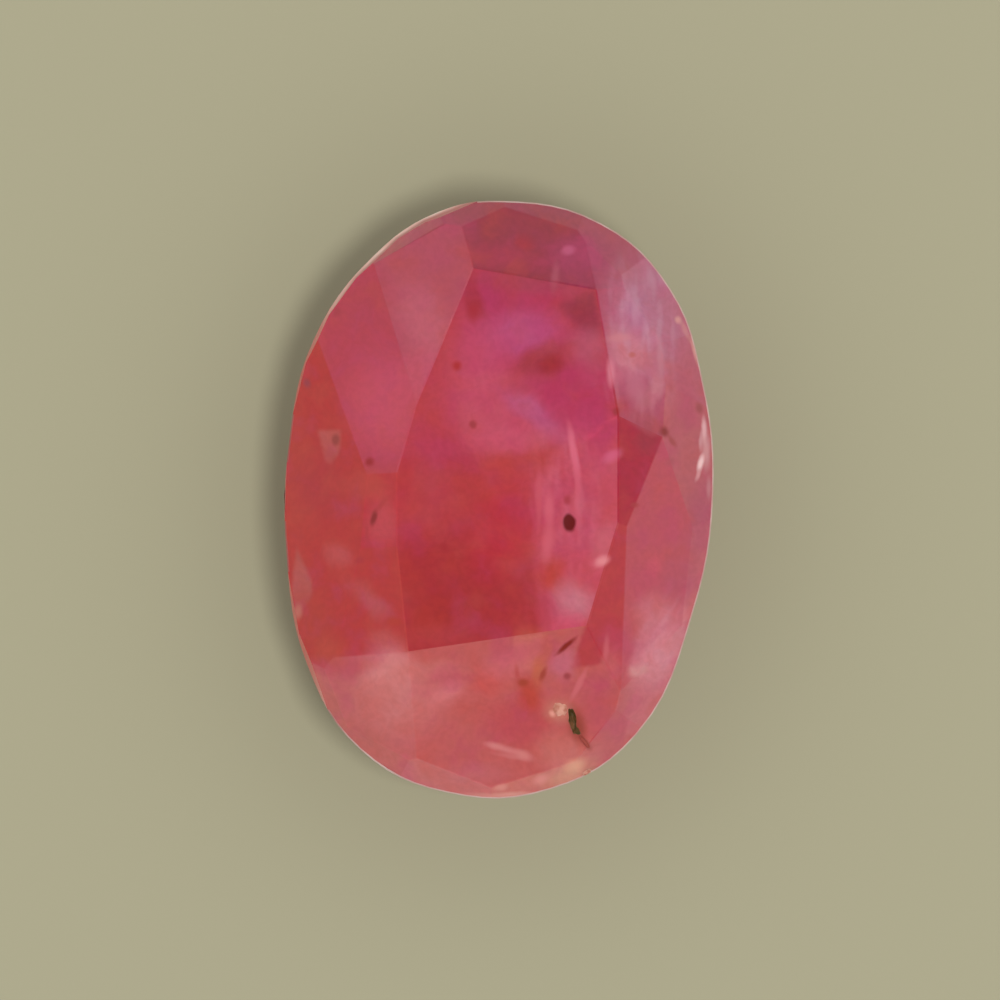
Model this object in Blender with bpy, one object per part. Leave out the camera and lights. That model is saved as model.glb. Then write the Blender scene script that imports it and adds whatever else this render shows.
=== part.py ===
# Faceted oval ruby, cut by hand from one crystal: a low crown with an off-centre table, an uneven
# girdle that runs higher at both ends, and a pavilion that ends in a broad flat culet, on which
# the stone rests. Its sizes are in millimetres here and become metres at the end, for Blender.
# +Z is up, +Y runs along the stone's length, and the origin is under its middle, on the culet.

import math

import bmesh
import bpy
from mathutils import Vector

MM = 0.001

# Driving dimensions, in millimetres
LENGTH = 10.0
WIDTH = 7.16
TABLE_LEVEL = 4.00
GIRDLE_TOP = 3.14
GIRDLE_LOW = 2.80
NORTH_LIFT = 0.40
SOUTH_LIFT = 0.15
LOW_EDGE_LIFT_SHARE = 0.70
CULET_HALF_LENGTH = 1.75
CULET_HALF_WIDTH = 1.15
BLANK_MARGIN = 0.8

# Corners of the girdle's outline seen from above, anticlockwise from the right, as shares of half
# the width and half the length. The stone is flatter at the upper left than anywhere else.
OUTLINE = [
    (0.999, 0.02),
    (0.950, 0.40),
    (0.800, 0.705),
    (0.475, 0.925),
    (0.000, 1.00),
    (-0.285, 0.965),
    (-0.590, 0.817),
    (-0.870, 0.535),
    (-0.983, 0.20),
    (-0.997, -0.17),
    (-0.900, -0.55),
    (-0.650, -0.835),
    (-0.250, -0.978),
    (0.240, -0.967),
    (0.640, -0.785),
    (0.905, -0.375),
]
OUTLINE_STEPS = 6

# Crown facets: the compass direction that each one faces, anticlockwise from +X, its slope below
# the table, and how far from the axis it would cut the table's plane. Degrees and millimetres.
CROWN_FACETS = {
    "north": (80.0, 13.9, 3.75),
    "north_west": (157.4, 20.0, 1.90),
    "west_north_west": (163.9, 23.0, 1.78),
    "west": (180.0, 21.8, 1.72),
    "west_long_break": (178.0, 33.5, 1.93),
    "west_south_west": (-174.2, 21.8, 1.79),
    "south_west": (-150.0, 23.8, 2.60),
    "south": (-81.7, 10.8, 2.30),
    "south_east_star": (-16.8, 14.4, 2.01),
    "east": (-9.7, 26.1, 2.09),
    "east_star": (0.0, 15.5, 1.985),
    "east_upper_break": (2.0, 40.0, 2.53),
    "north_east_star": (9.5, 17.0, 2.19),
    "north_east": (47.0, 21.8, 3.68),
}

# Narrow flats where the girdle leans in towards the crown, at the stone's flatter corner
LEANING_GIRDLE = [112, 123, 134, 145, 156, 167, 178, 189, 200]
LEANING_SLOPE = math.radians(80)

# Small facets that run round the rim above and below the girdle, and the main pavilion facets
BREAK_COUNT = 16
BREAK_SLOPE = math.radians(42)
PAVILION_COUNT = 8
PAVILION_BREAK_EXTRA_SLOPE = math.radians(6)


def girdle_blank():
    """The oval prism that the facets are cut from, in millimetres."""
    curve = bpy.data.curves.new("girdle_outline", "CURVE")
    curve.dimensions = "2D"
    curve.fill_mode = "BOTH"
    curve.resolution_u = OUTLINE_STEPS
    curve.extrude = TABLE_LEVEL / 2 + BLANK_MARGIN
    spline = curve.splines.new("BEZIER")
    spline.bezier_points.add(len(OUTLINE) - 1)
    for point, (across, along) in zip(spline.bezier_points, OUTLINE):
        point.co = (across * WIDTH / 2, along * LENGTH / 2, 0)
        point.handle_left_type = "AUTO"
        point.handle_right_type = "AUTO"
    spline.use_cyclic_u = True
    guide = bpy.data.objects.new("girdle_outline", curve)
    bpy.context.scene.collection.objects.link(guide)
    bpy.context.view_layer.update()
    graph = bpy.context.evaluated_depsgraph_get()
    mesh = bpy.data.meshes.new_from_object(guide.evaluated_get(graph))
    blank = bmesh.new()
    blank.from_mesh(mesh)
    bmesh.ops.remove_doubles(blank, verts=blank.verts, dist=1e-4)
    bmesh.ops.translate(blank, verts=blank.verts, vec=(0, 0, TABLE_LEVEL / 2))
    for face in blank.faces:
        face.smooth = False
    bpy.data.objects.remove(guide)
    bpy.data.meshes.remove(mesh)
    return blank


def outward(direction):
    return Vector((math.cos(direction), math.sin(direction), 0))


def oval_directions(count, first):
    """Directions that a plain oval faces at even steps round it, starting part of a step on."""
    turns = [2 * math.pi * (step + first) / count for step in range(count)]
    return [math.atan2(WIDTH * math.sin(turn), LENGTH * math.cos(turn)) for turn in turns]


def lift(direction):
    """How much higher the girdle runs on the side that faces this direction."""
    northing = math.sin(direction)
    if northing > 0:
        return NORTH_LIFT * northing ** 2
    return SOUTH_LIFT * northing ** 2


def cut(stone, point, normal):
    """Grinds one flat facet: all that lies beyond the plane goes, and the cut is closed."""
    parts = stone.verts[:] + stone.edges[:] + stone.faces[:]
    made = bmesh.ops.bisect_plane(
        stone, geom=parts, dist=1e-5, plane_co=point, plane_no=normal, clear_outer=True
    )
    rim = [part for part in made["geom_cut"] if isinstance(part, bmesh.types.BMEdge)]
    if rim:
        bmesh.ops.contextual_create(stone, geom=rim)


def cut_slope(stone, direction, slope, distance, level, side):
    """A facet that slopes away from a line at this level and distance from the axis.
    side is 1 for a crown facet, which faces up, and -1 for a pavilion facet."""
    out = outward(direction)
    normal = out * math.sin(slope) + Vector((0, 0, side * math.cos(slope)))
    cut(stone, out * distance + Vector((0, 0, level)), normal)


def cut_crown(stone, rim_points):
    cut(stone, Vector((0, 0, TABLE_LEVEL)), Vector((0, 0, 1)))
    for facing, slope, distance in CROWN_FACETS.values():
        cut_slope(stone, math.radians(facing), math.radians(slope), distance, TABLE_LEVEL, 1)
    for direction in oval_directions(BREAK_COUNT, 0.5):
        rim = max(point.dot(outward(direction)) for point in rim_points)
        cut_slope(stone, direction, BREAK_SLOPE, rim, GIRDLE_TOP + lift(direction), 1)


def cut_girdle(stone, rim_points):
    for degrees in LEANING_GIRDLE:
        direction = math.radians(degrees)
        rim = max(point.dot(outward(direction)) for point in rim_points)
        level = GIRDLE_LOW + LOW_EDGE_LIFT_SHARE * lift(direction)
        cut_slope(stone, direction, LEANING_SLOPE, rim, level, 1)


def cut_pavilion(stone, rim_points):
    cut(stone, Vector((0, 0, 0)), Vector((0, 0, -1)))
    for count, first, extra in (
        (PAVILION_COUNT, 0, 0),
        (2 * PAVILION_COUNT, 0.5, PAVILION_BREAK_EXTRA_SLOPE),
    ):
        for direction in oval_directions(count, first):
            out = outward(direction)
            rim = max(point.dot(out) for point in rim_points)
            culet = math.hypot(CULET_HALF_WIDTH * out.x, CULET_HALF_LENGTH * out.y)
            level = GIRDLE_LOW + LOW_EDGE_LIFT_SHARE * lift(direction)
            slope = math.atan2(level, rim - culet)
            cut_slope(stone, direction, slope + extra, rim, level, -1)


def ruby_material():
    material = bpy.data.materials.new("ruby")
    material.use_nodes = True
    surface = material.node_tree.nodes["Principled BSDF"]
    surface.inputs["Base Color"].default_value = (0.45, 0.06, 0.09, 1)
    surface.inputs["Roughness"].default_value = 0.12
    surface.inputs["Metallic"].default_value = 0.0
    surface.inputs["IOR"].default_value = 1.77
    return material


def make_ruby():
    stone = girdle_blank()
    rim_points = [Vector((vert.co.x, vert.co.y, 0)) for vert in stone.verts]
    cut_crown(stone, rim_points)
    cut_girdle(stone, rim_points)
    cut_pavilion(stone, rim_points)
    bmesh.ops.dissolve_degenerate(stone, edges=stone.edges, dist=5e-3)
    bmesh.ops.scale(stone, verts=stone.verts, vec=(MM, MM, MM))
    bmesh.ops.recalc_face_normals(stone, faces=stone.faces)
    mesh = bpy.data.meshes.new("faceted_ruby")
    stone.to_mesh(mesh)
    stone.free()
    mesh.materials.append(ruby_material())
    collection = bpy.data.collections.new("oval_ruby")
    bpy.context.scene.collection.children.link(collection)
    collection.objects.link(bpy.data.objects.new("faceted_ruby", mesh))


for leftover in list(bpy.data.objects):
    bpy.data.objects.remove(leftover)
make_ruby()
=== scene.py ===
import math
import random

import bpy
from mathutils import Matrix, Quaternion, Vector
from mathutils.bvhtree import BVHTree


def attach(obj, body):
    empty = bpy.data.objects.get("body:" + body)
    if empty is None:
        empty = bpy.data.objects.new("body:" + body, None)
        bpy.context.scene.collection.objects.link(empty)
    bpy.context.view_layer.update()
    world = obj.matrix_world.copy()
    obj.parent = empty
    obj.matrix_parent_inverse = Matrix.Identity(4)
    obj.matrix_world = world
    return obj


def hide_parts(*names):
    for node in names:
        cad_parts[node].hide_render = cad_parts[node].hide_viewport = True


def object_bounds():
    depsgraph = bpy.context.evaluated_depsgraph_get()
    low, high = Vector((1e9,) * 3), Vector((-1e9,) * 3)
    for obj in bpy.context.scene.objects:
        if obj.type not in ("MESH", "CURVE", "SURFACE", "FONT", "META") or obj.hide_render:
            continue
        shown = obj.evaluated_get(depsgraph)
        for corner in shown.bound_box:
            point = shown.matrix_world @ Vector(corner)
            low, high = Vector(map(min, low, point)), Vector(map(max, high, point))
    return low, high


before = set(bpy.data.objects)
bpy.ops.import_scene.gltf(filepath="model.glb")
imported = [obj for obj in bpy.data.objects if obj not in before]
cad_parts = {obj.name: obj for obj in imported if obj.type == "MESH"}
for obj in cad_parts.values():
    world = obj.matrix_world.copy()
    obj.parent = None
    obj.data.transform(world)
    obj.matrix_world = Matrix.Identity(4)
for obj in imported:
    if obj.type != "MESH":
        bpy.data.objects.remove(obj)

cadBox = [list(corner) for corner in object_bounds()]
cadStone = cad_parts["faceted_ruby"]

# The photo is 1000 pixels square and looks straight down, with its right at +X and its top at +Y.
photo = {
    "size": 1000,
    "stoneMiddle": (499.5, 500.0),
    "stoneLength": 597.0,
}
pixel = (cadBox[1][1] - cadBox[0][1]) / photo["stoneLength"]
mm = 0.001


# Metres on the stone for a pixel of the photo
def fromPhoto(place):
    across = (place[0] - photo["stoneMiddle"][0]) * pixel
    along = (photo["stoneMiddle"][1] - place[1]) * pixel
    return across, along


# Linear colour for an sRGB hex value
def hexColour(code):
    parts = [int(code[i:i + 2], 16) / 255 for i in (1, 3, 5)]
    linear = [p / 12.92 if p <= 0.04045 else ((p + 0.055) / 1.055) ** 2.4 for p in parts]
    return (*linear, 1.0)


def selectOnly(piece):
    bpy.ops.object.select_all(action="DESELECT")
    piece.select_set(True)
    bpy.context.view_layer.objects.active = piece


# Adds one node, with its settings and with values or links for its inputs.
def addNode(tree, kind, settings=None, inputs=None):
    node = tree.nodes.new(kind)
    for name, value in (settings or {}).items():
        setattr(node, name, value)
    for name, value in (inputs or {}).items():
        if isinstance(value, bpy.types.NodeSocket):
            tree.links.new(value, node.inputs[name])
        else:
            node.inputs[name].default_value = value
    return node


smooth = {"interpolation_type": "SMOOTHSTEP"}
colourMix = {"data_type": "RGBA"}


def newMaterial(name):
    material = bpy.data.materials.new(name)
    material.use_nodes = True
    tree = material.node_tree
    tree.nodes.clear()
    return material, tree


# The shape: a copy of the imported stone, with its worn edges, chips and open cracks. Slopes are
# in degrees: 0 is the table, 90 an upright wall and 180 the culet.
stone = {
    "name": "polished_ruby",
    "joinCorners": 0.05 * mm,  # corners closer than this become one
    "flatWithin": math.radians(0.8),
    "wornEdge": 0.017 * mm,
    "wornFrom": math.radians(3.2),  # a seam that bends less stays as it is
    "closeFold": 0.07 * mm,
    "girdleTop": 3.2 * mm,  # the girdle's wall starts below this everywhere
    "rimWidth": 0.03 * mm,
    "uprightFrom": 84,
    "girdleFromSlope": 66,
    "girdleToSlope": 118,
    "facetWithin": math.radians(1),  # how close a face comes to a listed facet's direction
    "largeFacet": 0.12 * mm * mm,
    "largeFacetWithin": math.radians(2.5),
    "tableEdgeVeil": 0.0,
}


# Compass direction and slope of a face, in degrees
def facing(normal):
    slope = math.degrees(math.acos(max(-1, min(1, normal.z))))
    return math.degrees(math.atan2(normal.y, normal.x)), slope


def isCrown(face):
    return facing(face.normal)[1] < stone["girdleFromSlope"]


def isPolished(face):
    return isCrown(face) or facing(face.normal)[1] > stone["girdleToSlope"]


# The faces on each side of every edge
def facesBeside(mesh):
    beside = {}
    for face in mesh.polygons:
        for key in face.edge_keys:
            beside.setdefault(key, []).append(face)
    return beside


def selectNone(mesh):
    for part in (mesh.vertices, mesh.edges, mesh.polygons):
        part.foreach_set("select", [False] * len(part))


# Selects the edges between two facets of the crown or of the back.
def selectFacetEdges(mesh):
    beside = facesBeside(mesh)
    selectNone(mesh)
    for edge in mesh.edges:
        first, second = beside[edge.key]
        bend = first.normal.angle(second.normal)
        edge.select = isPolished(first) and isPolished(second) and bend > stone["wornFrom"]


# Closes the strips of worn edge that folded over, where facets meet at a narrow angle.
def closeFolds(mesh):
    selectNone(mesh)
    for face in mesh.polygons:
        above = min(mesh.vertices[i].co.z for i in face.vertices) > stone["girdleTop"]
        face.select = above and not isCrown(face)
    bpy.ops.object.mode_set(mode="EDIT")
    bpy.ops.mesh.select_mode(type="FACE")
    bpy.ops.mesh.remove_doubles(threshold=stone["closeFold"])
    bpy.ops.object.mode_set(mode="OBJECT")


# Sets off a narrow rim on the crown, where it meets the upright girdle, and gives it the stone's
# second material.
def groundRim(mesh):
    selectNone(mesh)
    for face in mesh.polygons:
        face.select = isCrown(face)
    bpy.ops.object.mode_set(mode="EDIT")
    bpy.ops.mesh.select_mode(type="FACE")
    bpy.ops.mesh.inset(thickness=stone["rimWidth"], use_even_offset=False)
    bpy.ops.object.mode_set(mode="OBJECT")
    beside = facesBeside(mesh)
    for face in mesh.polygons:
        if isCrown(face) and not face.select:
            others = [facing(other.normal)[1] for key in face.edge_keys for other in beside[key]]
            face.material_index = 1 if max(others) > stone["uprightFrom"] else 0


selectOnly(cadStone)
bpy.ops.object.duplicate()
ruby = bpy.context.object
ruby.name = stone["name"]
ruby.data.name = stone["name"]
ruby.parent = None
ruby.data.materials.clear()
for finish in ("polished", "ground"):
    ruby.data.materials.append(bpy.data.materials.new(finish))

bpy.ops.object.mode_set(mode="EDIT")
bpy.ops.mesh.select_all(action="SELECT")
bpy.ops.mesh.remove_doubles(threshold=stone["joinCorners"])
bpy.ops.mesh.dissolve_limited(angle_limit=stone["flatWithin"])
bpy.ops.mesh.select_mode(type="EDGE")
bpy.ops.object.mode_set(mode="OBJECT")
selectFacetEdges(ruby.data)
bpy.ops.object.mode_set(mode="EDIT")
bpy.ops.mesh.bevel(offset=stone["wornEdge"], segments=1, clamp_overlap=False)
bpy.ops.object.mode_set(mode="OBJECT")
closeFolds(ruby.data)
groundRim(ruby.data)
print("stone merged and its edges worn:", len(ruby.data.polygons), "faces")

# Flaws that open at the surface. Each is: middle (pixels), half sizes (pixels), turn (degrees),
# depth (metres), how rough it broke (a share of its size), and the material inside it.
flaws = {
    "crackMouth": ((572.5, 720), (3.8, 13.5), 9, 0.09 * mm, 0.16, "stainedCrack"),
    "crackShoulder": ((576.5, 730), (2.6, 6), 35, 0.05 * mm, 0.10, "stainedCrack"),
    "crackTail": ((585, 742), (12.5, 2.2), -52, 0.04 * mm, 0.12, "rustCrack"),
    "creamChip": ((560, 709), (7.5, 6.5), -20, 0.03 * mm, 0.16, "creamBreak"),
    "edgeChip": ((587, 772), (5, 3), 25, 0.03 * mm, 0.2, "creamBreak"),
}


def skinOf(piece, shrink=1.0):
    mesh = piece.data
    return BVHTree.FromPolygons([corner.co * shrink for corner in mesh.vertices],
                                [tuple(face.vertices) for face in mesh.polygons])


def resize(piece, times):
    selectOnly(piece)
    piece.scale = (times, times, times)
    bpy.ops.object.transform_apply(location=False, rotation=False, scale=True)


# The point of the stone's surface under a place on the photo, and the surface's direction there
def onSurface(skin, place):
    start = Vector((*fromPhoto(place), 2 * cadBox[1][2]))
    spot, normal = skin.ray_cast(start, Vector((0, 0, -1)))[:2]
    if spot is None:
        spot, normal = skin.find_nearest(start)[:2]
    return spot, normal


# Cuts one flaw out of the stone with a rough-skinned oval that lies in its surface. The Boolean
# needs room for its tolerances, so the stone is a thousand times its size meanwhile.
cutScale = 1000.0


def cutFlaw(piece, name, flaw):
    middle, halves, turn, depth, roughness, finish = flaw
    spot, normal = onSurface(skinOf(piece, 1 / cutScale), middle)
    bpy.ops.mesh.primitive_ico_sphere_add(subdivisions=3, radius=1.0)
    cutter = bpy.context.object
    dice = random.Random(name)
    for corner in cutter.data.vertices:
        corner.co *= 1 + dice.uniform(-roughness, roughness)
    lean = Vector((0, 0, 1)).rotation_difference(normal)
    cutter.rotation_mode = "QUATERNION"
    cutter.rotation_quaternion = lean @ Quaternion((0, 0, 1), math.radians(turn))
    cutter.location = spot * cutScale
    cutter.scale = Vector((halves[0] * pixel, halves[1] * pixel, depth)) * cutScale
    bpy.ops.object.transform_apply(location=True, rotation=True, scale=True)
    cutter.data.materials.append(flawMaterials[finish])
    selectOnly(piece)
    cut = piece.modifiers.new(name, "BOOLEAN")
    cut.operation = "DIFFERENCE"
    cut.solver = "MANIFOLD"
    cut.material_mode = "TRANSFER"
    cut.object = cutter
    bpy.ops.object.modifier_apply(modifier=cut.name)
    bpy.data.objects.remove(cutter)


finishNames = list(dict.fromkeys(flaw[5] for flaw in flaws.values()))
flawMaterials = {finish: newMaterial(finish)[0] for finish in finishNames}
resize(ruby, cutScale)
for name, flaw in flaws.items():
    cutFlaw(ruby, name, flaw)
resize(ruby, 1 / cutScale)
print("flaws cut:", len(flaws))

# What the eye sees of each facet in the photo: a colour of its own, partly because each one looks into
# another part of the stone and partly painted sheen and shade, for how much of the room's light each
# facet mirrors. The compass direction that it faces and its slope find it again.
facets = {
    "table": (0, 0, "#b4424c", "table"),
    "north": (80, 13.9, "#933947", "west"),
    "northWest": (157.4, 20.0, "#af4d5b", "west"),
    "westNorthWest": (163.9, 23.0, "#b34150", "west"),
    "west": (180, 21.8, "#b5343b", "west"),
    "westSouthWest": (-174.2, 21.8, "#b13736", "west"),
    "westLong": (178, 33.5, "#b43836", "west"),
    "rimWestSouthWest": (-154.4, 42, "#c26962", "west"),
    "rimNorthWest": (133, 42, "#ac6161", "west"),
    "rimNorthNorthWest": (105.5, 42, "#a04d56", "west"),
    "rimNorth": (74.5, 42, "#9e4d58", "east"),
    "rimNorthEast": (47, 42, "#a75260", "east"),
    "northEast": (47, 21.8, "#a44f62", "east"),
    "rimNorthNorthEast": (25.6, 42, "#b46878", "east"),
    "northEastStar": (9.5, 17.0, "#aa4b60", "east"),
    "eastUpper": (2, 40, "#b35c62", "east"),
    "eastStar": (0, 15.5, "#a4233c", "east"),
    "east": (-9.7, 26.1, "#b5505a", "east"),
    "southEastStar": (-16.8, 14.4, "#b03b42", "east"),
    "rimEast": (8.1, 42, "#b35f6c", "east"),
    "rimEastLow": (-8.1, 42, "#c26668", "east"),
    "rimSouthEast": (-25.6, 42, "#bc686c", "east"),
    "southWest": (-150, 23.8, "#ba5a5a", "south"),
    "south": (-81.7, 10.8, "#b95a58", "south"),
    "rimSouthSouthEast": (-47, 42, "#b7595c", "south"),
    "rimSouth": (-74.5, 42, "#c26b62", "south"),
    "rimSouthSouthWest": (-105.5, 42, "#c06664", "south"),
    "rimSouthWest": (-133, 42, "#bc5f5b", "south"),
}

# The marks below are placed on the photo. Each is: middle (pixels), half sizes (pixels), turn
# (degrees), colour, strength, and how soft its edge is (0 sharp, 1 fades from the middle out).
tableClouds = {
    "topMagenta": ((503, 297), (42, 26), 0, "#ad3a60", 0.8, 0.7),
    "topRed": ((540, 288), (26, 16), -20, "#b43850", 0.6, 0.7),
    "topLeftShade": ((471, 300), (9, 36), 12, "#a2343f", 0.8, 0.6),
    "topDull": ((535, 284), (48, 11), -7, "#a54256", 0.85, 0.7),
    "lilacCloud": ((520, 334), (46, 20), 4, "#b54b78", 0.85, 0.6),
    "pinkLeft": ((478, 352), (26, 30), 0, "#bd4c6a", 0.7, 0.7),
    "pinkMiddle": ((492, 400), (44, 34), -20, "#c2526a", 0.7, 0.7),
    "magentaRight": ((577, 392), (44, 42), 0, "#b2385f", 0.8, 0.6),
    "palePatch": ((587, 350), (19, 17), 0, "#b2566a", 0.7, 0.6),
    "lilacDrift": ((532, 412), (32, 11), -35, "#b7587f", 0.75, 0.7),
    "brightPink": ((507, 437), (36, 14), 0, "#c7566d", 0.7, 0.7),
    "warmBreak": ((520, 462), (26, 11), 0, "#b84a4a", 0.6, 0.7),
    "warmUnder": ((503, 478), (24, 26), 0, "#b9403e", 0.6, 0.7),
    "leftSide": ((428, 448), (26, 30), 0, "#b53e54", 0.5, 0.8),
    "heartTop": ((440, 515), (40, 34), 0, "#b64249", 0.7, 0.8),
    "heart": ((455, 594), (82, 62), 0, "#a63338", 0.9, 0.5),
    "heartBrown": ((450, 608), (26, 16), 0, "#a4342f", 0.6, 0.8),
    "heartGlow": ((503, 535), (30, 42), -18, "#b9333f", 0.75, 0.7),
    "heartFoot": ((440, 634), (30, 10), 0, "#ad3c42", 0.7, 0.8),
    "magentaStar": ((601, 430), (17, 19), 0, "#b23d63", 0.7, 0.7),
    "lilacStar": ((588, 512), (10, 26), 0, "#b64a68", 0.6, 0.7),
    "paleStar": ((602, 546), (13, 20), -14, "#c4636e", 0.7, 0.7),
    "warmFoot": ((551, 577), (13, 16), -25, "#ba4339", 0.85, 0.7),
    "greyFoot": ((573, 602), (19, 17), 20, "#c27380", 0.85, 0.7),
    "roseFoot": ((563, 632), (17, 20), 0, "#c7526a", 0.85, 0.6),
    "tanFoot": ((531, 640), (15, 12), 0, "#ba5546", 0.7, 0.7),
    "darkPatch": ((543, 362), (27, 17), 8, "#a23c4b", 0.85, 0.5),
    "darkPatchCore": ((551, 367), (12, 9), 30, "#9c2e38", 0.85, 0.6),
    "darkBelow": ((526, 386), (26, 9), 15, "#b0445a", 0.6, 0.7),
}
crownClouds = {
    "topDark": ((520, 230), (52, 20), 0, "#97404a", 0.6, 0.7),
    "northFoot": ((500, 258), (36, 12), -8, "#a83f50", 0.7, 0.7),
    "topPurple": ((580, 258), (28, 26), 0, "#a24460", 0.7, 0.6),
    "topShadow": ((573, 282), (20, 17), 0, "#9b3f54", 0.7, 0.6),
    "topRedSpot": ((520, 244), (9, 6), 0, "#a83842", 0.6, 0.7),
    # Painted sheen: the room's light mirrored pale in the kite at the upper left.
    "kiteSheen": ((424, 322), (22, 40), 24, "#bf5f6e", 0.7, 0.7),
    "kiteTop": ((438, 248), (30, 22), 25, "#ae4e5e", 0.6, 0.8),
    # Painted sheen at the kite's foot.
    "kiteSheenFoot": ((420, 372), (20, 24), 10, "#c2546a", 0.6, 0.7),
    "leftPink": ((388, 408), (34, 44), 10, "#c34f62", 0.8, 0.7),
    "leftTop": ((362, 300), (26, 30), 30, "#ad4250", 0.6, 0.8),
    # Painted glow, this oval and the next: the lamp's light that passes through the stone from +X,
    # orange-red along the left rim.
    "leftRimGlow": ((296, 470), (14, 90), 0, "#b34438", 0.6, 0.8),
    "leftFootGlow": ((312, 628), (20, 38), 20, "#b04036", 0.75, 0.7),
    "leftFootWarm": ((333, 654), (14, 14), 0, "#b54638", 0.7, 0.7),
    "leftDeep": ((316, 486), (22, 30), 0, "#ac3a3e", 0.6, 0.7),
    "leftWarm": ((366, 488), (28, 12), 0, "#b6443f", 0.75, 0.7),
    "leftPinkLow": ((386, 522), (17, 24), 0, "#bd4a53", 0.7, 0.6),
    "leftSmudge": ((338, 556), (14, 10), -20, "#be5456", 0.7, 0.7),
    "leftSmudgeLow": ((357, 590), (17, 9), -25, "#b54c4c", 0.5, 0.7),
    "leftLilac": ((376, 606), (18, 8), -35, "#b5545a", 0.7, 0.8),
    "leftPaleFoot": ((392, 646), (20, 15), -20, "#bb5957", 0.7, 0.7),
    "paleBlotch": ((390, 673), (24, 19), 10, "#d28080", 0.95, 0.8),
    "paleBelow": ((398, 702), (40, 30), 10, "#c57371", 0.7, 0.8),
    "edgeRed": ((345, 667), (34, 8), 2, "#b44b4c", 0.75, 0.8),
    "dullLeft": ((338, 706), (26, 26), 30, "#b45e58", 0.6, 0.8),
    "dullFoot": ((372, 738), (22, 12), -20, "#b05a52", 0.6, 0.8),
    "palePatchFoot": ((446, 694), (18, 11), 35, "#cc7274", 0.8, 0.7),
    "palePatchTop": ((430, 668), (30, 8), 4, "#c46e6a", 0.6, 0.7),
    "orangeBreak": ((487, 680), (16, 12), 40, "#c3524f", 0.7, 0.7),
    "pinkBreak": ((508, 664), (22, 14), 10, "#c6646a", 0.7, 0.7),
    "roseLow": ((523, 722), (36, 26), 0, "#b6484f", 0.8, 0.6),
    "tanWindow": ((541, 660), (6, 26), -4, "#bc6148", 0.85, 0.6),
    "orangeWindow": ((531, 694), (13, 16), 20, "#b54234", 0.85, 0.7),
    "lilacWindow": ((563, 664), (14, 14), 0, "#bd6474", 0.8, 0.6),
    "tanLow": ((568, 750), (26, 20), 0, "#c2706a", 0.8, 0.6),
    "creamEdge": ((569, 772), (22, 10), 20, "#c88a74", 0.85, 0.7),
    "bottomPink": ((478, 774), (26, 10), 0, "#b96468", 0.7, 0.8),
    "roseSide": ((598, 700), (14, 26), 0, "#b54a5c", 0.6, 0.7),
    "darkSide": ((612, 692), (14, 30), -4, "#b3565a", 0.6, 0.7),
    "wedgeFoot": ((612, 664), (9, 16), 0, "#bd595d", 0.8, 0.7),
    "paleSide": ((650, 690), (16, 26), -30, "#c0686e", 0.5, 0.7),
    "rosePale": ((660, 650), (20, 34), -24, "#cf838e", 0.85, 0.7),
    "paleKnot": ((640, 668), (9, 6), 0, "#cc8c8a", 0.8, 0.7),
    "paleTop": ((658, 610), (22, 16), 10, "#c6707a", 0.7, 0.7),
    "duskSide": ((682, 572), (17, 28), -8, "#ad5262", 0.7, 0.7),
    "duskRim": ((700, 520), (13, 36), -4, "#a95064", 0.7, 0.7),
    "redKnot": ((655, 566), (7, 11), -30, "#c75462", 0.6, 0.7),
    "starDark": ((648, 441), (10, 13), -20, "#953440", 0.6, 0.6),
    "brownVeil": ((649, 423), (18, 9), -12, "#a44c56", 0.8, 0.5),
    "milkyVeil": ((643, 330), (30, 62), 8, "#b46c82", 0.85, 0.6),
    "milkyOval": ((631, 352), (19, 24), 0, "#c57684", 0.85, 0.6),
    "lilacVeil": ((640, 308), (12, 22), 6, "#b27390", 0.7, 0.7),
    "lilacTop": ((652, 274), (9, 16), 25, "#b5738a", 0.7, 0.7),
    "rosyRight": ((682, 388), (17, 28), 8, "#b45465", 0.6, 0.7),
    "brownRight": ((646, 398), (10, 11), 0, "#a4525c", 0.7, 0.7),
    "palePinkLow": ((655, 392), (7, 11), -15, "#bf737d", 0.7, 0.7),
    "rustCorner": ((615, 408), (11, 9), 0, "#aa3640", 0.7, 0.7),
}
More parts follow.
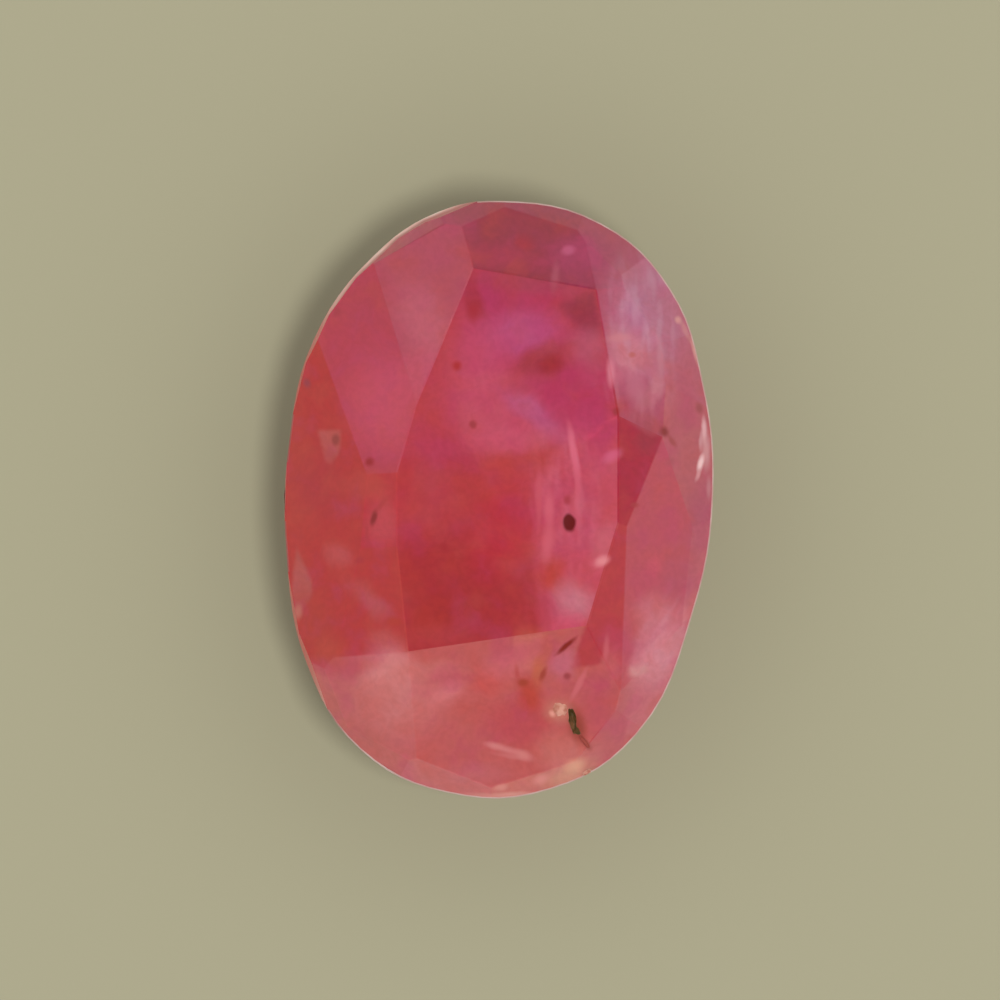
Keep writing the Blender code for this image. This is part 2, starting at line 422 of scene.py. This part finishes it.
marks = {
    "pinkStreak": ((574, 455), (3.4, 27), 10, "#d6697e", 0.9, 0.7),
    "pinkThread": ((577, 494), (2.6, 22), 0, "#cc5f72", 0.7, 0.8),
    "paleBlade": ((549, 508), (4.6, 14), 0, "#d26474", 0.8, 0.7),
    "paleBladeLeft": ((539, 498), (3, 26), 0, "#c95866", 0.7, 0.8),
    "paleBladeLow": ((548, 541), (5.5, 16), -8, "#cf606e", 0.8, 0.8),
    "glint": ((602, 561), (6.5, 4.4), 25, "#df8b90", 0.9, 0.8),
    "glintHigh": ((612, 456), (9, 5), 28, "#cd607e", 0.85, 0.8),
    "paleTab": ((611, 372), (4, 13), 0, "#cf7888", 0.9, 0.7),
    "paleTabTop": ((620, 338), (13, 4), 8, "#c97c84", 0.7, 0.8),
    "paleArcRight": ((660, 362), (3.6, 22), 2, "#bb7783", 0.7, 0.8),
    "paleArcFoot": ((636, 388), (9, 14), 10, "#b9687a", 0.7, 0.8),
    "bluishStreak": ((635, 303), (3.6, 20), 2, "#ba7f95", 0.6, 0.8),
    "bluishStreakHigh": ((651, 278), (3.6, 13), 14, "#bd8496", 0.6, 0.8),
    "tanDot": ((632, 355), (3.4, 2.6), 0, "#b8605c", 0.8, 0.6),
    "topDot": ((568, 251), (6.5, 4.5), 15, "#ba5876", 0.95, 0.6),
    "topThread": ((555, 277), (3.6, 14), -6, "#ad5866", 0.6, 0.8),
    "darkDotA": ((473, 425), (3.8, 3.6), 0, "#a0383f", 0.95, 0.6),
    "darkDotB": ((370, 462), (4.4, 4.2), 0, "#9c2a2e", 0.95, 0.7),
    "rustDot": ((457, 366), (4.2, 4), 0, "#aa3132", 0.9, 0.7),
    "rustStain": ((474, 312), (6, 9), 0, "#a5303a", 0.8, 0.8),
    "faintDot": ((445, 548), (4.4, 5), 30, "#a23036", 0.7, 0.7),
    "seedDark": ((374, 518), (3.2, 8), -14, "#8c211e", 0.98, 0.6),
    "darkCrystal": ((569, 522.5), (6.2, 8.8), 6, "#6a110e", 1.0, 0.28),
    "seedTail": ((382, 504), (9, 2.4), 48, "#a53a3a", 0.6, 0.8),
    "seedThread": ((367, 532), (1.7, 9), 0, "#a3373c", 0.5, 0.8),
    "faintDotLow": ((360, 560), (4.6, 3), 10, "#a5343b", 0.7, 0.7),
    "rimDotA": ((307, 383), (3.6, 4.4), 20, "#94404a", 0.8, 0.7),
    "rimDotB": ((338, 312), (4.4, 3.6), 30, "#a03e46", 0.7, 0.7),
    "orangeDot": ((394, 621), (8, 4.4), 0, "#b03a2c", 0.8, 0.7),
    "warmSpeck": ((523, 682), (5.4, 4), 0, "#a0402e", 0.9, 0.7),
    "warmSpeckTail": ((517, 672), (2.2, 8), 8, "#b04844", 0.6, 0.8),
    "warmThread": ((543, 674), (2.6, 7), -22, "#9e3f32", 0.85, 0.7),
    "plumSpeck": ((567, 676), (3.8, 3.2), 0, "#9a3f42", 0.9, 0.7),
    "crystalFleck": ((567, 500), (3.4, 4.4), 0, "#a43a44", 0.8, 0.7),
    "needle": ((566, 645.5), (12, 2.4), 41, "#86281f", 0.98, 0.6),
    "arrowPale": ((579, 684), (17, 2.6), 64, "#c9696e", 0.8, 0.7),
    "brownKnot": ((664, 432), (4.6, 5), 20, "#8c3634", 0.98, 0.7),
    "brownTail": ((672, 441), (2.6, 7), 40, "#9e4846", 0.8, 0.7),
    "leftDot": ((336, 440), (4, 5.4), 0, "#94403a", 0.9, 0.6),
    "crackHalo": ((576, 723), (8, 18), 12, "#8e3c2c", 0.9, 0.75),
    "creamHalo": ((558, 711), (12, 10), -10, "#c07868", 0.85, 0.8),
    "creamGlint": ((552, 713), (2.6, 3), 20, "#e09888", 0.9, 0.8),
    "brownSpeck": ((699, 408), (3.6, 5), 10, "#9c4a4c", 0.85, 0.7),
    "brownSpeckLow": ((670, 462), (5, 4), 20, "#a65058", 0.6, 0.7),
    "cornerSpeck": ((616, 412), (3.2, 3.6), 0, "#9b3a3c", 0.8, 0.7),
    "starSpeck": ((634, 505), (4.2, 2.6), 0, "#a23c40", 0.85, 0.7),
    "whiteTopRight": ((678, 320), (3.4, 3.4), 0, "#d6948e", 0.85, 0.7),
    "whiteRimRight": ((695, 351), (2.6, 13), 16, "#d8988e", 0.8, 0.7),
    "whiteRimHigh": ((685, 330), (2.6, 10), 26, "#cd8a88", 0.6, 0.8),
    "featherTop": ((704, 430), (2.4, 11), 2, "#dcaaac", 0.95, 0.7),
    "featherSide": ((701, 440), (1.8, 9), -4, "#cb9296", 0.8, 0.8),
    "featherMiddle": ((706, 450), (4.4, 16), 0, "#cf9698", 0.75, 0.8),
    "featherFoot": ((700.5, 463), (2.8, 8), -16, "#efc4c3", 0.98, 0.7),
    "featherFootTail": ((698, 475), (2, 6), -22, "#d59497", 0.85, 0.8),
    "featherEnd": ((709, 488), (2.4, 9), 0, "#be8488", 0.6, 0.8),
    "whiteBand": ((506, 749), (17, 3), -16, "#cf7d7c", 0.75, 0.9),
    "whiteBandLow": ((512, 756), (14, 2.2), -10, "#c87472", 0.6, 0.8),
    "whiteBandEnd": ((524, 755), (7, 4), -20, "#d0807c", 0.75, 0.9),
    "whiteBandStart": ((494, 745), (7, 3), -10, "#cf807e", 0.6, 0.9),
    "bottomGlint": ((501, 787), (6, 3), 10, "#d58a80", 0.7, 0.9),
    "bottomEdge": ((510, 795), (36, 3.4), 0, "#d49084", 0.8, 0.7),
    "creamDab": ((541, 779), (7, 5), 20, "#d6857e", 0.9, 0.8),
    "creamDabHigh": ((575, 766), (10, 7), 20, "#d69a80", 0.9, 0.8),
    "crackTailStain": ((585, 742), (12, 3), -52, "#9c4640", 0.9, 0.6),
    "brownEdge": ((588, 771), (7, 3), 25, "#a86a54", 0.8, 0.7),
    "knotPale": ((606, 648), (2.6, 12), -4, "#c56068", 0.7, 0.8),
    "whiteLeaf": ((298, 612), (4, 7), -10, "#be7264", 0.8, 0.8),
}

silkVeils = {
    "upperRight": ((645, 318), (34, 58), 4, "#bf8a9e", 0.6, 0.5),
    "upperRightFoot": ((640, 385), (32, 30), 0, "#c67e88", 0.45, 0.6),
    "rightSide": ((664, 640), (26, 50), -26, "#cd8a98", 0.35, 0.6),
    "tableRight": ((566, 500), (34, 66), 2, "#cb6478", 0.5, 0.6),
}

# Facets at the back of the stone, mirrored into the front. Each is: the corners of its window
# (pixels, anticlockwise), colour, strength, and the softness of its edges (pixels).
tableWindows = {
    "deepRed": (((392, 456), (404, 662), (552, 640), (537, 575), (500, 500), (470, 456)),
                "#ae373c", 0.75, 5),
    "pinkWindow": (((531, 484), (539, 640), (640, 640), (640, 425), (585, 405)), "#c04e60", 0.85, 5),
    "maroon": (((556, 303), (566, 321), (588, 341), (603, 329), (594, 290)), "#8e3544", 0.8, 7),
}
crownWindows = {
    "leftTriangle": (((318, 430), (325, 462), (331, 465), (340, 452), (341, 430)), "#b75a55", 0.8, 3),
    "lowRightPale": (((634, 660), (625, 735), (700, 735), (700, 640)), "#c3686e", 0.55, 3),
    "leafChip": (((297, 548), (291, 590), (297, 612), (311, 600), (313, 585)), "#b45f5b", 0.85, 3),
    "redWedge": (((588, 618), (571, 667), (600, 664), (606, 652)), "#ad3a44", 0.9, 3),
    "tanPane": (((513, 636), (515, 669), (537, 669), (545, 633)), "#c46a5f", 0.75, 3),
}


def directionOf(compass, slope):
    flat = math.sin(math.radians(slope))
    turn = math.radians(compass)
    return Vector((flat * math.cos(turn), flat * math.sin(turn), math.cos(math.radians(slope))))


# The stone's materials in the order of its slots. Each part of the crown has a ruby of its own,
# with the clouds that lie under it.
regions = {
    "table": "clearRuby",
    "west": "redRuby",
    "east": "milkyRuby",
    "south": "roseRuby",
    "back": "silkyRuby",
    "girdle": "groundRuby",
}


# The gloss adds a pale veil to what shows of each region. The colours here are as seen in the
# photo, so the stone's own colour is that much deeper.
glossVeil = {"table": 0.005, "west": 0.021, "east": 0.019, "south": 0.011}


def bodyColour(code, region, veiled=1.0):
    veil = glossVeil[region] * veiled
    return (*[max(0.004, part - veil) for part in hexColour(code)[:3]], 1.0)


# Whether a face is one of the facets listed above, or only a worn edge beside it
def isFacet(face, facet):
    limit = stone["largeFacetWithin"] if face.area > stone["largeFacet"] else stone["facetWithin"]
    return facet[0].angle(face.normal) < limit


# Stores each facet's colour on the mesh, with its painted sheen and shade, and gives the face the
# material of its region. A worn edge between two facets of the crown fades from the colour of one to
# that of the other. The table's edges mirror the dark ceiling, so no veil is taken off their colour.
def colourFacets(piece):
    mesh = piece.data
    known = [(directionOf(turn, slope), code, region) for turn, slope, code, region in facets.values()]
    nearest = [max(known, key=lambda facet: facet[0].dot(face.normal)) for face in mesh.polygons]
    look = mesh.color_attributes.new("facetColourSheenAndShade", "FLOAT_COLOR", "CORNER")
    order = list(regions) + list(flawMaterials)
    names = [material.name for material in mesh.materials]
    finishes = [names[face.material_index] for face in mesh.polygons]
    mesh.materials.clear()
    for material in (*regionMaterials.values(), *flawMaterials.values()):
        mesh.materials.append(material)
    around = {}
    for face, facet in zip(mesh.polygons, nearest):
        if isFacet(face, facet):
            for corner in face.vertices:
                around.setdefault(corner, []).append(facet)
    for face, facet, finish in zip(mesh.polygons, nearest, finishes):
        sides = [facet] * len(face.vertices)
        veiled = 1.0
        if not isFacet(face, facet):
            sides = [max(around.get(corner, [facet]), key=lambda side: side[0].dot(face.normal))
                     for corner in face.vertices]
            crownSides = [side for side in sides if side[2] != "table"] or [facet]
            facet = max(crownSides, key=lambda side: side[0].dot(face.normal))
            veiled = stone["tableEdgeVeil"] if len(crownSides) < len(sides) else 1.0
            sides = [facet if side[2] == "table" else side for side in sides]
        region = facet[2]
        colours = [bodyColour(side[1], region, veiled) for side in sides]
        if finish in flawMaterials:
            region = finish
        elif finish == "ground":
            region = "girdle"
            # Painted shade: the rim on the crown is stored darker than the girdle's wall.
            colours = [(*[girdleFinish["rimShade"]] * 3, 1.0)] * len(sides)
        elif not isPolished(face):
            region = "girdle"
            colours = [(1.0, 1.0, 1.0, 1.0)] * len(sides)
        elif not isCrown(face):
            region = "back"
        face.material_index = order.index(region)
        for loop, colour in zip(face.loop_indices, colours):
            look.data[loop].color = colour


# Ruby is corundum: hard, so its facets keep a sharp polish, and with a high index of 1.77 that
# mirrors the room. This one is cloudy with silk, so light scatters inside it, and its worn
# polish mirrors less than a new one.
rubyFinish = {
    "index": 1.77,
    "tableGloss": 0.20,
    "gloss": 0.12,
    "roughness": (0.04, 0.08),
    "wearSize": 0.6 * mm,
    "clearness": 0.25,
    "milkiness": 0.35,
    "scatterDepth": 0.6 * mm,
    "cloudDepth": 1.6 * mm,
    "markDepth": 0.10 * mm,
    "driftSize": 1.1 * mm,
    "driftAmount": 0.42 * mm,
    "raggedSize": 0.22 * mm,
    "raggedAmount": 0.11 * mm,
    "mottleSize": 0.55 * mm,
    "grainSize": 0.10 * mm,
    "silkWidth": 0.16 * mm,
    "silkLength": 0.60 * mm,
}


def perMetre(size):
    return 1.0 / size


# Lowest and highest x and y of a region's faces
def reachOf(piece, region):
    slot = list(regions).index(region)
    corners = [piece.data.vertices[i].co for face in piece.data.polygons
               if face.material_index == slot for i in face.vertices]
    return [(min(c[axis] for c in corners), max(c[axis] for c in corners)) for axis in (0, 1)]


# The marks that reach into a region
def marksIn(reach, marks):
    inside = []
    for mark in marks.values():
        middle, halves, softness = fromPhoto(mark[0]), mark[1], mark[5]
        margin = max(halves) * (1 + softness) * pixel
        if all(low - margin < at < high + margin for at, (low, high) in zip(middle, reach)):
            inside.append(mark)
    return inside


# Moves a pattern's place about by noise, so that its edges wander as they do inside a crystal
def wander(tree, place, size, amount):
    noise = addNode(tree, "ShaderNodeTexNoise", inputs={
        "Vector": place, "Scale": perMetre(size), "Detail": 2.0})
    drift = addNode(tree, "ShaderNodeVectorMath", {"operation": "SUBTRACT"}, {
        0: noise.outputs["Color"], 1: (0.5, 0.5, 0.5)})
    return addNode(tree, "ShaderNodeVectorMath", {"operation": "MULTIPLY_ADD"}, {
        0: drift.outputs["Vector"], 1: (amount, amount, amount), 2: place}).outputs["Vector"]


# Lays a colour over another, smoothly more of it as a value goes from the first limit to the second.
def layColour(tree, under, over, value, limits, strength=1.0):
    share = addNode(tree, "ShaderNodeMapRange", smooth, {
        "Value": value, "From Min": limits[0], "From Max": limits[1], "To Max": strength}).outputs["Result"]
    return addNode(tree, "ShaderNodeMix", colourMix, {0: share, 6: under, 7: over}).outputs[2]


# Coordinates in which an oval mark reaches from -1 to 1
def ovalPlace(tree, skin, place, mark, depth):
    middle, halves, turn = mark[:3]
    return addNode(tree, "ShaderNodeMapping", {"vector_type": "TEXTURE"}, {
        "Vector": place,
        "Location": (*fromPhoto(middle), onSurface(skin, middle)[0].z),
        "Rotation": (0, 0, math.radians(turn)),
        "Scale": (halves[0] * pixel, halves[1] * pixel, max(depth, min(halves) * pixel)),
    }).outputs["Vector"]


# Lays soft ovals of colour over the colour so far.
def layClouds(tree, skin, place, colour, clouds, depth, region):
    for cloud in clouds:
        code, strength, softness = cloud[3:]
        oval = ovalPlace(tree, skin, place, cloud, depth)
        away = addNode(tree, "ShaderNodeVectorMath", {"operation": "LENGTH"}, {0: oval}).outputs["Value"]
        limits = 1 + softness, 1 - softness
        colour = layColour(tree, colour, bodyColour(code, region), away, limits, strength)
    return colour


# Lays veils of fine parallel threads, as rutile silk lies in a ruby, over the colour so far.
def laySilk(tree, skin, place, colour, veils, region):
    for veil in veils:
        code, strength, softness = veil[3:]
        oval = ovalPlace(tree, skin, place, veil, rubyFinish["cloudDepth"])
        away = addNode(tree, "ShaderNodeVectorMath", {"operation": "LENGTH"}, {0: oval}).outputs["Value"]
        area = addNode(tree, "ShaderNodeMapRange", smooth, {
            "Value": away, "From Min": 1 + softness, "From Max": 1 - softness, "To Max": strength})
        across = veil[1][0] * pixel / rubyFinish["silkWidth"]
        along = veil[1][1] * pixel / rubyFinish["silkLength"]
        stretched = addNode(tree, "ShaderNodeVectorMath", {"operation": "MULTIPLY"}, {
            0: oval, 1: (across, along, 1.0)}).outputs["Vector"]
        threads = addNode(tree, "ShaderNodeTexNoise", inputs={
            "Vector": stretched, "Scale": 1.0, "Detail": 1.0, "Roughness": 0.4}).outputs["Fac"]
        silk, share = bodyColour(code, region), area.outputs["Result"]
        colour = layColour(tree, colour, silk, threads, (0.38, 0.78), share)
    return colour


# Lays straight-sided windows over the colour so far: a place is inside when it is to the left of
# every side.
def layWindows(tree, place, colour, windows, region):
    for corners, code, strength, softness in windows.values():
        share = strength
        for start, end in zip(corners, corners[1:] + corners[:1]):
            first, second = Vector(fromPhoto(start)), Vector(fromPhoto(end))
            run = (second - first).normalized()
            inwards = (-run.y, run.x, 0.0)
            reach = addNode(tree, "ShaderNodeVectorMath", {"operation": "DOT_PRODUCT"}, {
                0: place, 1: inwards})
            edge = inwards[0] * first.x + inwards[1] * first.y
            share = addNode(tree, "ShaderNodeMapRange", smooth, {
                "Value": reach.outputs["Value"], "To Max": share,
                "From Min": edge - softness * pixel, "From Max": edge + softness * pixel}).outputs["Result"]
        colour = addNode(tree, "ShaderNodeMix", colourMix, {
            0: share, 6: colour, 7: bodyColour(code, region)}).outputs[2]
    return colour


# Fine blotches of warmer and cooler red, lighter and darker, all through the stone
def mottle(tree, place, colour):
    blotch = addNode(tree, "ShaderNodeTexNoise", inputs={
        "Vector": place, "Scale": perMetre(rubyFinish["mottleSize"]), "Detail": 3.0}).outputs["Fac"]
    colour = layColour(tree, colour, hexColour("#b8432f"), blotch, (0.48, 0.72), 0.24)
    colour = layColour(tree, colour, hexColour("#b03662"), blotch, (0.52, 0.28), 0.28)
    grain = addNode(tree, "ShaderNodeTexNoise", inputs={
        "Vector": place, "Scale": perMetre(rubyFinish["grainSize"]), "Detail": 3.0}).outputs["Fac"]
    shade = addNode(tree, "ShaderNodeMapRange", smooth, {
        "Value": grain, "From Min": 0.30, "From Max": 0.70, "To Min": 0.95, "To Max": 1.05})
    return addNode(tree, "ShaderNodeVectorMath", {"operation": "SCALE"}, {
        "Vector": colour, "Scale": shade.outputs["Result"]}).outputs["Vector"]


def rubySurface(tree, place, colour, gloss):
    wear = addNode(tree, "ShaderNodeTexNoise", inputs={
        "Vector": place, "Scale": perMetre(rubyFinish["wearSize"]), "Detail": 4.0}).outputs["Fac"]
    low, high = rubyFinish["roughness"]
    polish = addNode(tree, "ShaderNodeMapRange", smooth, {
        "Value": wear, "From Min": 0.35, "From Max": 0.75, "To Min": low, "To Max": high})
    surface = addNode(tree, "ShaderNodeBsdfPrincipled", inputs={
        "Base Color": colour,
        "Roughness": polish.outputs["Result"],
        "IOR": rubyFinish["index"],
        "Specular IOR Level": gloss,
        "Transmission Weight": rubyFinish["clearness"],
        "Subsurface Weight": rubyFinish["milkiness"],
        "Subsurface Radius": (1.0, 0.25, 0.25),
        "Subsurface Scale": rubyFinish["scatterDepth"],
    })
    addNode(tree, "ShaderNodeOutputMaterial", inputs={"Surface": surface.outputs["BSDF"]})


# One region's ruby, with the windows and clouds that show through it
def makeRuby(piece, skin, region):
    tree = regionMaterials[region].node_tree
    reach = reachOf(piece, region)
    windows, clouds = (tableWindows, tableClouds) if region == "table" else (crownWindows, crownClouds)
    place = addNode(tree, "ShaderNodeTexCoord").outputs["Object"]
    drifting = wander(tree, place, rubyFinish["driftSize"], rubyFinish["driftAmount"])
    ragged = wander(tree, drifting, rubyFinish["raggedSize"], rubyFinish["raggedAmount"])
    nearly = wander(tree, place, rubyFinish["raggedSize"], rubyFinish["raggedAmount"] * 0.4)
    colour = addNode(tree, "ShaderNodeAttribute", {"attribute_name": "facetColourSheenAndShade"}).outputs["Color"]
    colour = layWindows(tree, nearly, colour, windows, region)
    colour = layClouds(tree, skin, ragged, colour, marksIn(reach, clouds), rubyFinish["cloudDepth"], region)
    colour = laySilk(tree, skin, nearly, colour, marksIn(reach, silkVeils), region)
    colour = mottle(tree, ragged, colour)
    colour = layClouds(tree, skin, nearly, colour, marksIn(reach, marks), rubyFinish["markDepth"], region)
    rubySurface(tree, place, colour, rubyFinish["tableGloss" if region == "table" else "gloss"])


# The back shows deep red and milky bands, where the crystal grew in layers.
backFinish = {
    "base": "#a5353f",
    "deep": "#86222c",
    "milky": "#bd6c78",
    "bandWidth": 0.8 * mm,
    "patchSize": 1.9 * mm,
}


def makeBack():
    tree = regionMaterials["back"].node_tree
    place = addNode(tree, "ShaderNodeTexCoord").outputs["Object"]
    drifting = wander(tree, place, rubyFinish["driftSize"], rubyFinish["driftAmount"])
    patch = addNode(tree, "ShaderNodeTexNoise", inputs={
        "Vector": drifting, "Scale": perMetre(backFinish["patchSize"]), "Detail": 3.0}).outputs["Fac"]
    bands = addNode(tree, "ShaderNodeTexWave", {"bands_direction": "DIAGONAL"}, {
        "Vector": drifting, "Scale": perMetre(backFinish["bandWidth"]) / math.tau,
        "Distortion": 3.0, "Detail": 3.0, "Detail Scale": 1.5}).outputs["Fac"]
    base, deep, milky = [hexColour(backFinish[part]) for part in ("base", "deep", "milky")]
    colour = layColour(tree, base, deep, patch, (0.45, 0.70))
    colour = layColour(tree, colour, milky, bands, (0.55, 1.0), 0.55)
    colour = mottle(tree, drifting, colour)
    rubySurface(tree, place, colour, rubyFinish["gloss"])


# The girdle is ground and left matt, so its fine pits scatter white light and look pale. Towards
# -X it is painted red: painted glow of the lamp's light, which passes through the red stone from +X.
# Above its middle the red stone behind shows through. The rim on the crown is painted darker than
# the girdle's wall, as painted shade.
girdleFinish = {
    "pale": "#f3cfc6",
    "dull": "#e2b2aa",
    # Painted glow towards -X: the lamp's light passing through the red stone from +X.
    "red": "#b85a50",
    "glowRedBetween": (-2.2 * mm, -3.3 * mm),
    "upper": "#b87673",
    "upperBetween": (3.08 * mm, 3.40 * mm),
    # Painted shade on the rim of the crown.
    "rimShade": 0.49,
    "roughness": 0.5,
    "gritSize": 0.03 * mm,
    "gritDepth": 0.004 * mm,
    "patchSize": 0.5 * mm,
}


def makeGirdle():
    tree = regionMaterials["girdle"].node_tree
    place = addNode(tree, "ShaderNodeTexCoord").outputs["Object"]
    parts = addNode(tree, "ShaderNodeSeparateXYZ", inputs={"Vector": place})
    shade = addNode(tree, "ShaderNodeAttribute", {"attribute_name": "facetColourSheenAndShade"})
    patch = addNode(tree, "ShaderNodeTexNoise", inputs={
        "Vector": place, "Scale": perMetre(girdleFinish["patchSize"]), "Detail": 4.0}).outputs["Fac"]
    grit = addNode(tree, "ShaderNodeTexNoise", inputs={
        "Vector": place, "Scale": perMetre(girdleFinish["gritSize"]), "Detail": 2.0}).outputs["Fac"]
    pale, dull, upper, red = [hexColour(girdleFinish[part]) for part in ("pale", "dull", "upper", "red")]
    colour = layColour(tree, pale, dull, patch, (0.35, 0.65))
    wall = layColour(tree, colour, upper, parts.outputs["Z"], girdleFinish["upperBetween"])
    colour = layColour(tree, colour, wall, shade.outputs["Fac"], (girdleFinish["rimShade"], 1.0))
    # Painted glow towards -X.
    colour = layColour(tree, colour, red, parts.outputs["X"], girdleFinish["glowRedBetween"], 0.9)
    # Painted shade: the crown's rim is darkened by the share stored for it.
    colour = addNode(tree, "ShaderNodeVectorMath", {"operation": "MULTIPLY"}, {
        0: colour, 1: shade.outputs["Color"]}).outputs["Vector"]
    pits = addNode(tree, "ShaderNodeBump", inputs={
        "Height": grit, "Strength": 0.6, "Distance": girdleFinish["gritDepth"]})
    surface = addNode(tree, "ShaderNodeBsdfPrincipled", inputs={
        "Base Color": colour,
        "Roughness": girdleFinish["roughness"],
        "IOR": rubyFinish["index"],
        "Specular IOR Level": rubyFinish["gloss"],
        "Normal": pits.outputs["Normal"],
        "Subsurface Weight": rubyFinish["milkiness"],
        "Subsurface Radius": (1.0, 0.25, 0.25),
        "Subsurface Scale": rubyFinish["scatterDepth"],
    })
    addNode(tree, "ShaderNodeOutputMaterial", inputs={"Surface": surface.outputs["BSDF"]})


# What shows inside the flaws: dried stain in a crack, and broken corundum, which is rough and
# scatters pale light. Each is: two colours, roughness, patch size.
flawFinishes = {
    "stainedCrack": ("#4a3816", "#6c4424", 0.6, 0.12 * mm),
    "rustCrack": ("#8a3a30", "#944238", 0.6, 0.08 * mm),
    "creamBreak": ("#ba8270", "#a0604e", 0.45, 0.14 * mm),
}
ridgeHeight = 0.01 * mm


def finishFlaw(material, finish):
    first, second, roughness, patchSize = finish
    tree = material.node_tree
    place = addNode(tree, "ShaderNodeTexCoord").outputs["Object"]
    patch = addNode(tree, "ShaderNodeTexNoise", inputs={
        "Vector": place, "Scale": perMetre(patchSize), "Detail": 4.0}).outputs["Fac"]
    colour = layColour(tree, hexColour(first), hexColour(second), patch, (0.38, 0.62))
    ridges = addNode(tree, "ShaderNodeBump", inputs={
        "Height": patch, "Strength": 0.5, "Distance": ridgeHeight})
    surface = addNode(tree, "ShaderNodeBsdfPrincipled", inputs={
        "Base Color": colour,
        "Roughness": roughness,
        "IOR": rubyFinish["index"],
        "Specular IOR Level": rubyFinish["gloss"],
        "Normal": ridges.outputs["Normal"],
    })
    addNode(tree, "ShaderNodeOutputMaterial", inputs={"Surface": surface.outputs["BSDF"]})


regionMaterials = {region: newMaterial(name)[0] for region, name in regions.items()}
colourFacets(ruby)
skin = skinOf(ruby)
for region in ("table", "west", "east", "south"):
    makeRuby(ruby, skin, region)
makeBack()
makeGirdle()
for finish, material in flawMaterials.items():
    finishFlaw(material, flawFinishes[finish])
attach(ruby, "root")
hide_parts("faceted_ruby")
print("ruby coloured")

# The floor, the light and the camera
studio = {
    "floorColour": "#969279",
    "floorHalf": 0.25,
    "skyStrength": 1.03,
    "ceilingStrength": 0.13,
    "darkCeilingFrom": 8,
    "darkCeilingTo": 32,
    "keyPlace": (0.076, -0.0457, 0.5934),
    "keyWidth": 0.10,
    "keyPower": 1.85,
}


def makeFloor():
    bpy.ops.mesh.primitive_plane_add(size=2 * studio["floorHalf"])
    floor = bpy.context.object
    floor.name = "studio_floor"
    material, tree = newMaterial("mattPaper")
    paper = addNode(tree, "ShaderNodeBsdfPrincipled", inputs={
        "Base Color": hexColour(studio["floorColour"]),
        "Roughness": 0.9,
        "Specular IOR Level": 0.1,
    })
    addNode(tree, "ShaderNodeOutputMaterial", inputs={"Surface": paper.outputs["BSDF"]})
    floor.data.materials.append(material)


def makeLight():
    world = bpy.data.worlds.new("paleRoom")
    world.use_nodes = True
    tree = world.node_tree
    towards = addNode(tree, "ShaderNodeTexCoord").outputs["Generated"]
    height = addNode(tree, "ShaderNodeSeparateXYZ", inputs={"Vector": towards}).outputs["Z"]
    glow = addNode(tree, "ShaderNodeMapRange", smooth, {
        "Value": height,
        "From Min": math.cos(math.radians(studio["darkCeilingTo"])),
        "From Max": math.cos(math.radians(studio["darkCeilingFrom"])),
        "To Min": studio["skyStrength"],
        "To Max": studio["ceilingStrength"],
    })
    room = tree.nodes["Background"]
    room.inputs["Color"].default_value = (1, 1, 1, 1)
    tree.links.new(glow.outputs["Result"], room.inputs["Strength"])
    bpy.context.scene.world = world
    bpy.ops.object.light_add(type="AREA", location=studio["keyPlace"])
    key = bpy.context.object
    key.name = "softKey"
    key.data.shape = "DISK"
    key.data.size = studio["keyWidth"]
    key.data.energy = studio["keyPower"]
    key.rotation_euler = Vector(studio["keyPlace"]).to_track_quat("Z", "Y").to_euler()


camera = {
    "height": 0.40,
    "girdleLevel": 3.0 * mm,
    "sensor": 36.0,
}


def makeCamera():
    bpy.ops.object.camera_add(location=(0, 0, camera["height"]))
    eye = bpy.context.object
    eye.name = "overhead"
    seen = photo["size"] * pixel
    eye.data.sensor_width = camera["sensor"]
    eye.data.lens = camera["sensor"] * (camera["height"] - camera["girdleLevel"]) / seen
    middle = fromPhoto((photo["size"] / 2, photo["size"] / 2))
    eye.location.x, eye.location.y = middle
    eye.data.clip_start = 0.01
    eye.data.clip_end = 2.0
    bpy.context.scene.camera = eye


makeFloor()
makeLight()
makeCamera()
bpy.context.scene.view_settings.view_transform = "Standard"
print("studio ready")
